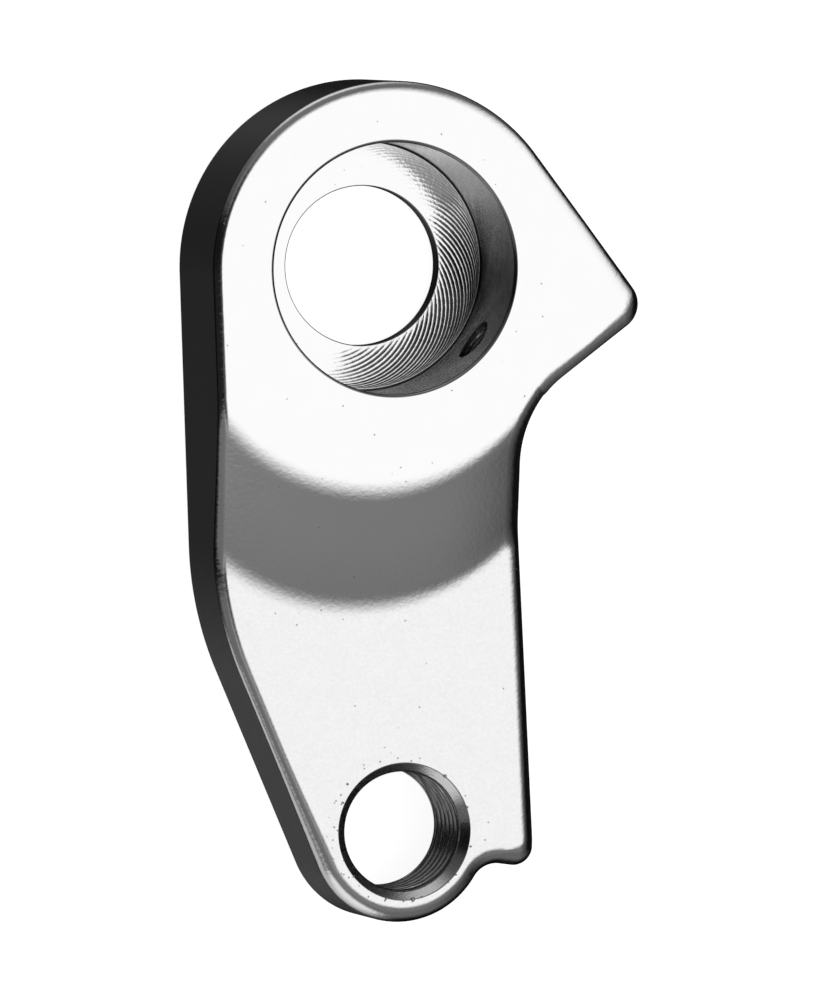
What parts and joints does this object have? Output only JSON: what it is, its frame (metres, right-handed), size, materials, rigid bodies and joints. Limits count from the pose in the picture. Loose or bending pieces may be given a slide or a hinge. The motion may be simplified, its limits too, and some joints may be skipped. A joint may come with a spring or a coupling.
{
  "type": "bicycle derailleur hanger",
  "caption": "One-piece aluminium derailleur hanger: a thick head with a stepped axle bore and a pointed tab, ramping down to an arm with a threaded boss and a stop.",
  "frame": {"origin": "centre of the axle bore on the flat back face", "axes": "+Z along the axle bore out of the front face, -Y down the arm from the axle to the derailleur thread, +X towards the pointed tab"},
  "size_m": [0.0332, 0.0632, 0.0098],
  "materials": {
    "polished_alloy": "bright polished face and walls with fine pits, turned counterbore, cut threads"
  },
  "bodies": {
    "root": {"hanger_body": "polished_alloy"}
  },
  "joints": []
}
